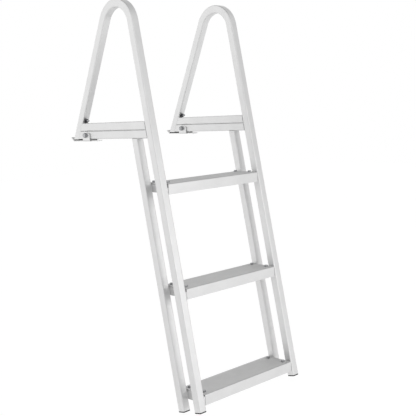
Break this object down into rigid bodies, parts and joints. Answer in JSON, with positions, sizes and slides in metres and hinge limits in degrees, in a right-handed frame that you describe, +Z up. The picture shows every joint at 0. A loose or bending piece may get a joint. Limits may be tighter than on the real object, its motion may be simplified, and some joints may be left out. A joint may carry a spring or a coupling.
{
  "type": "dock ladder",
  "caption": "Aluminium dock ladder with bent square-tube handrails, ribbed treads and flat arms that bolt down on top of a dock.",
  "frame": {"origin": "centre of the underside of the left dock bracket's base plate, where it lies on the dock", "axes": "+X from the left side frame to the right one, +Y inland over the dock, +Z up; the treads face -Y"},
  "size_m": [0.4452, 0.5527, 1.2259],
  "materials": {
    "tube_aluminium": "satin anodised square tube",
    "tread_aluminium": "satin extrusion with a ribbed top",
    "bracket_aluminium": "mill finish",
    "black_plastic": "moulded"
  },
  "bodies": {
    "root": {"rail_loop_left": "tube_aluminium", "rear_rail_left": "tube_aluminium", "lower_bar_left": "tube_aluminium", "upper_bar_left": "tube_aluminium", "front_foot_cap_left": "black_plastic", "rear_foot_cap_left": "black_plastic", "leg_cap_left": "black_plastic", "dock_bracket_left": "bracket_aluminium", "top_angle_left": "bracket_aluminium", "middle_angle_left": "bracket_aluminium", "bottom_angle_left": "bracket_aluminium", "rail_loop_right": "tube_aluminium", "rear_rail_right": "tube_aluminium", "lower_bar_right": "tube_aluminium", "upper_bar_right": "tube_aluminium", "front_foot_cap_right": "black_plastic", "rear_foot_cap_right": "black_plastic", "leg_cap_right": "black_plastic", "dock_bracket_right": "bracket_aluminium", "top_angle_right": "bracket_aluminium", "middle_angle_right": "bracket_aluminium", "bottom_angle_right": "bracket_aluminium", "tread_top": "tread_aluminium", "tread_middle": "tread_aluminium", "tread_bottom": "tread_aluminium"}
  },
  "joints": []
}
